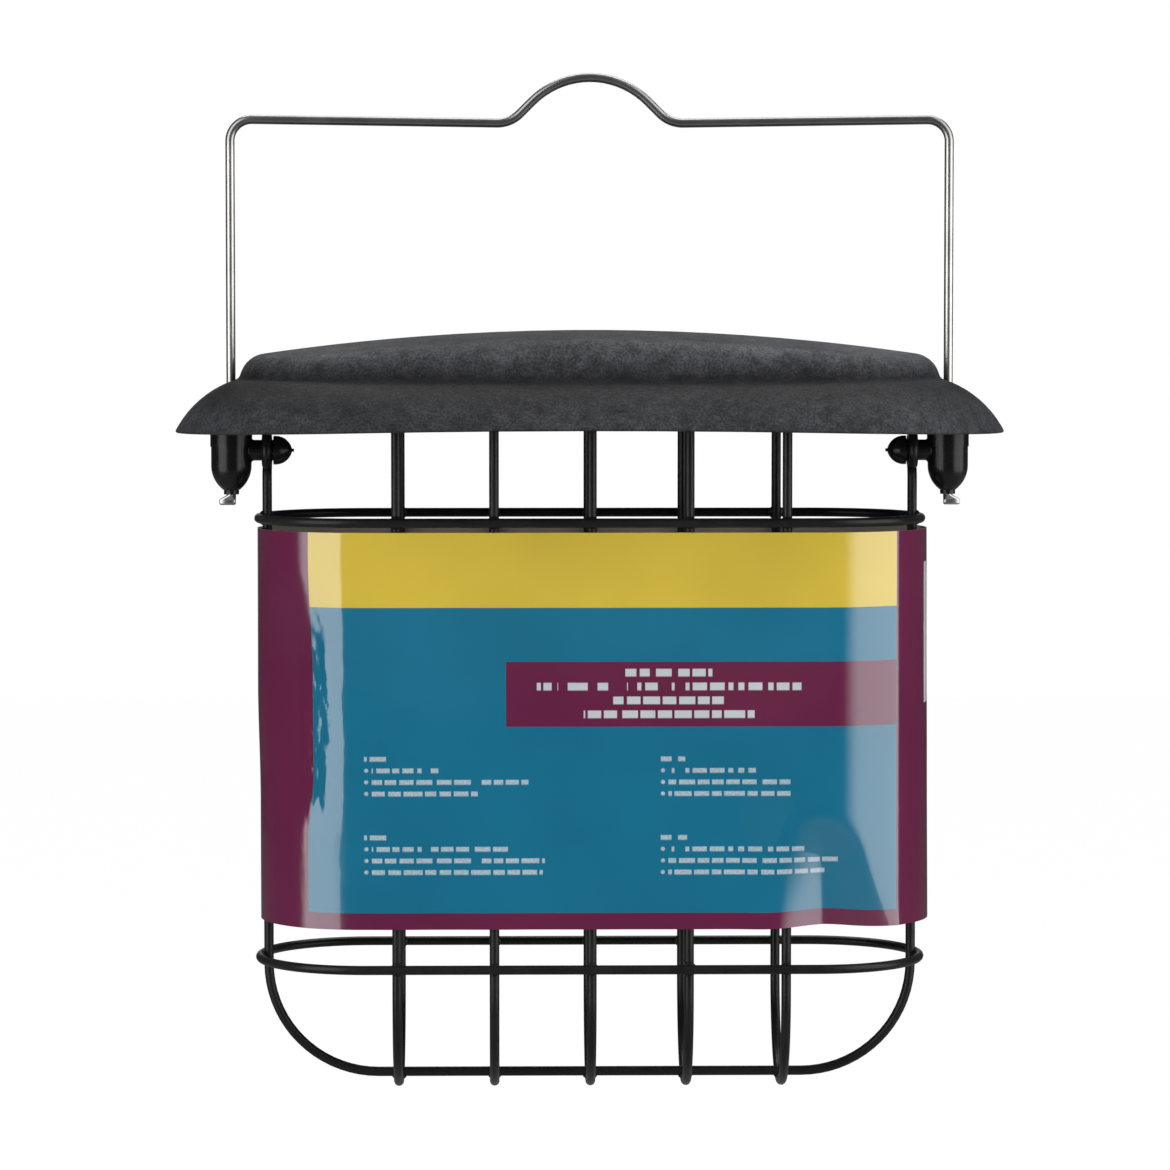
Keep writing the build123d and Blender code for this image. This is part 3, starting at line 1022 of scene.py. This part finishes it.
def on_sleeve(u, offset):
    """The place on the sleeve's outline u metres round from its front's middle, and its normal."""
    radius = sleeve_radius
    quarter = math.pi * radius
    side = 1 if u >= 0 else -1
    run = abs(u)
    if run <= half_side:
        place, normal = Vector((run, -radius, 0)), Vector((0, -1, 0))
    elif run <= half_side + quarter:
        angle = (run - half_side) / radius
        normal = Vector((math.sin(angle), -math.cos(angle), 0))
        place = Vector((half_side, 0, 0)) + radius * normal
    else:
        place = Vector((2 * half_side + quarter - run, radius, 0))
        normal = Vector((0, 1, 0))
    place += offset * normal
    place.x *= side
    normal.x *= side
    return place, normal


def make_sleeve(finish):
    """The printed card: one strip wrapped round the cage, lapped over itself at the back."""
    half_round = 2 * half_side + math.pi * sleeve_radius
    reach = (half_round + lap_half) / MM
    places_round = column_places(-reach, reach)
    sleeve_columns = len(places_round) - 1
    layers = []
    for side_offset in (card_thickness / 2, -card_thickness / 2):
        shell = []
        for u in (place * MM for place in places_round):
            lapped = eased(abs(u), half_round - 3 * lap_half, half_round + lap_half)
            over = card_thickness * lap_share * lapped * (1 if u > 0 else -1)
            line = []
            for row in range(sleeve_rows + 1):
                v = sleeve_extent.z * row / sleeve_rows
                lift = card_lift(u / MM, v / MM) * MM + over
                place, normal = on_sleeve(u, lift + side_offset)
                place.z = sleeve_low.z + v + lower_edge_rise(u / MM, v / MM) * MM
                line.append((place, (u, v)))
            shell.append(line)
        layers.append(shell)
    vertices, maps = [], []
    for shell in layers:
        for line in shell:
            for place, spot in line:
                vertices.append(tuple(place))
                maps.append(spot)
    across = sleeve_rows + 1
    inner = (sleeve_columns + 1) * across
    faces, printed = [], []
    for column in range(sleeve_columns):
        for row in range(sleeve_rows):
            a = column * across + row
            b = a + across
            faces.append((a, b, b + 1, a + 1))
            printed.append(1.0)
            faces.append((inner + a, inner + a + 1, inner + b + 1, inner + b))
            printed.append(0.0)
        for row, flip in ((0, True), (sleeve_rows, False)):
            a = column * across + row
            b = a + across
            edge = (a, b, inner + b, inner + a)
            faces.append(edge[::-1] if flip else edge)
            printed.append(0.0)
    for column, flip in ((0, False), (sleeve_columns, True)):
        for row in range(sleeve_rows):
            a = column * across + row
            edge = (a, a + 1, inner + a + 1, inner + a)
            faces.append(edge[::-1] if flip else edge)
            printed.append(0.0)
    mesh = bpy.data.meshes.new("printed_card_sleeve")
    mesh.from_pydata(vertices, [], faces)
    mesh.materials.append(finish)
    layer = mesh.uv_layers.new(name="print")
    for loop in mesh.loops:
        layer.data[loop.index].uv = maps[loop.vertex_index]
    side_of = mesh.attributes.new("printed", "FLOAT", "FACE")
    side_of.data.foreach_set("value", printed)
    mesh.polygons.foreach_set("use_smooth", [True] * len(faces))
    mesh.validate()
    sleeve = bpy.data.objects.new("printed_card_sleeve", mesh)
    bpy.context.scene.collection.objects.link(sleeve)
    modifier = sleeve.modifiers.new("crisp edges", "EDGE_SPLIT")
    modifier.split_angle = math.radians(50)
    settle(sleeve, "cage", "printed_card", "card_sleeve")


def dress(node, finish):
    """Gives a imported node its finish."""
    mesh = frame["nodes"][node].data
    mesh.materials.clear()
    mesh.materials.append(finish)


# Stage and light

floor_z = cad_box[0][2] - 0.25
floor_half = 4.0
floor_glow = 1.1
floor_glow_share = 0.9
floor_paper = ((0.30, 0.30, 0.30, 1), (0.32, 0.32, 0.32, 1))

# How far a direction points backwards, upwards or forwards, out of 1, where its light begins and where
# it is full.
behind_way = (0.96, 0.99)
above_way = (0.3, 1.0)
before_way = (-0.90, -0.99)
dim_level = 0.05
above_level = 0.10
before_level = 0.08

# Name, azimuth and elevation in degrees, distance, width, height, height of the middle, radiance, and
# the share of its width over which its left edge fades.
lamps = (
    ("softbox_left", -53, 0, 1.1, 1.02, 2.2, 0.3, 2.6, 0.18),
    ("softbox_right", 59, 0, 1.1, 1.39, 2.2, 0.3, 2.45, 0.30),
    ("softbox_above", 12, 80, 1.3, 1.6, 0.7, 0.0, 0.25, 0.1),
    ("softbox_behind", 165, 62, 1.3, 1.6, 0.8, 0.0, 4.0, 0.1),
)


def seen_rays(tree, behind):
    """1 for the camera's rays, and for mirrored and refracted rays that look behind the feeder."""
    rays = put(tree, "ShaderNodeLightPath")
    mirrored = maths(tree, "MAXIMUM", rays.outputs["Is Glossy Ray"], rays.outputs["Is Transmission Ray"])
    mirrored = maths(tree, "MULTIPLY", mirrored, behind)
    return maths(tree, "MAXIMUM", mirrored, rays.outputs["Is Camera Ray"])


def stage_white():
    """White floor that shows as the white ground, but for the feeder's shadow."""
    finish = bpy.data.materials.new("stage_white")
    finish.use_nodes = True
    tree = finish.node_tree
    tree.nodes.clear()
    output = put(tree, "ShaderNodeOutputMaterial")
    place = put(tree, "ShaderNodeTexCoord").outputs["Object"]
    way = put(tree, "ShaderNodeVectorMath", {0: place}, operation="NORMALIZE").outputs[0]
    behind = spread(tree, parts_of(tree, way)[1], *behind_way)
    paper = mix_colours(tree, grain(tree, place, 0.4, detail=3.0), *floor_paper)
    matt = put(tree, "ShaderNodeBsdfDiffuse", {"Color": paper})
    glow = put(tree, "ShaderNodeEmission", {"Color": (1, 1, 1, 1), "Strength": floor_glow})
    share = maths(tree, "MULTIPLY", seen_rays(tree, behind), floor_glow_share)
    mix = put(tree, "ShaderNodeMixShader", {0: share, 1: matt.outputs[0], 2: glow.outputs[0]})
    tree.links.new(mix.outputs[0], output.inputs[0])
    return finish


def make_stage():
    """A pale floor well below the hanging feeder."""
    mesh = bpy.data.meshes.new("floor")
    corners = ((-1, -1), (1, -1), (1, 1), (-1, 1))
    points = [(x * floor_half, y * floor_half, floor_z) for x, y in corners]
    mesh.from_pydata(points, [], [(0, 1, 2, 3)])
    mesh.materials.append(stage_white())
    floor = bpy.data.objects.new("floor", mesh)
    bpy.context.scene.collection.objects.link(floor)


def softbox(name, azimuth, elevation, distance, width, height, middle_z, radiance, soft_edge):
    """A rectangular soft lamp that faces the feeder, with its left edge faded by a share of its width.

    Azimuth 0 is in front of the feeder and grows to its right."""
    data = bpy.data.lights.new(name, "AREA")
    data.shape = "RECTANGLE"
    data.size = width
    data.size_y = height
    data.energy = radiance * math.pi * width * height
    data.use_nodes = True
    tree = data.node_tree
    tree.nodes.clear()
    output = put(tree, "ShaderNodeOutputLight")
    across = put(tree, "ShaderNodeNewGeometry").outputs["Parametric"]
    place = parts_of(tree, across)[0]
    fade = put(tree, "ShaderNodeMapRange", {"Value": place, "From Min": 0.0, "From Max": soft_edge})
    fade.interpolation_type = "SMOOTHSTEP"
    light = put(tree, "ShaderNodeEmission", {"Color": (1, 1, 1, 1), "Strength": fade.outputs[0]})
    tree.links.new(light.outputs[0], output.inputs[0])
    lamp = bpy.data.objects.new(name, data)
    bpy.context.scene.collection.objects.link(lamp)
    turn, rise = math.radians(azimuth), math.radians(elevation)
    away = Vector((math.sin(turn) * math.cos(rise), -math.cos(turn) * math.cos(rise), math.sin(rise)))
    lamp.location = away * distance + Vector((0, 0, middle_z))
    lamp.rotation_euler = (math.pi / 2 - rise, 0, turn)
    lamp.visible_camera = False


def make_world():
    """White all round for the camera; for the feeder, white behind it and dim elsewhere."""
    world = bpy.data.worlds.new("studio")
    bpy.context.scene.world = world
    world.use_nodes = True
    tree = world.node_tree
    tree.nodes.clear()
    output = put(tree, "ShaderNodeOutputWorld")
    way = put(tree, "ShaderNodeTexCoord").outputs["Generated"]
    parts = parts_of(tree, way)
    behind = spread(tree, parts[1], *behind_way)
    above = spread(tree, parts[2], *above_way, 0.0, above_level)
    before = spread(tree, parts[1], *before_way, 0.0, before_level)
    level = maths(tree, "ADD", dim_level, maths(tree, "ADD", above, before))
    strength = maths(tree, "MAXIMUM", level, seen_rays(tree, behind))
    light = put(tree, "ShaderNodeBackground", {"Color": (1, 1, 1, 1), "Strength": strength})
    tree.links.new(light.outputs[0], output.inputs[0])


def make_lights():
    """Two tall soft lamps, left and right of the camera, and two more high up before and behind it."""
    make_world()
    for lamp in lamps:
        softbox(*lamp)


make_camera()
scene = bpy.context.scene
scene.view_settings.view_transform = "Standard"

steel = bright_steel()
coat = black_powder_coat()
wire_tree = drawn_wire_tree()
make_cage(wire_tree, coat)
make_hanger(wire_tree, steel)
make_sleeve(printed_card())
moulding = black_moulding()
for fitting in ("fitting_left", "fitting_right"):
    dress(fitting, moulding)
dress("lid", lid_moulding())
make_stage()
make_lights()
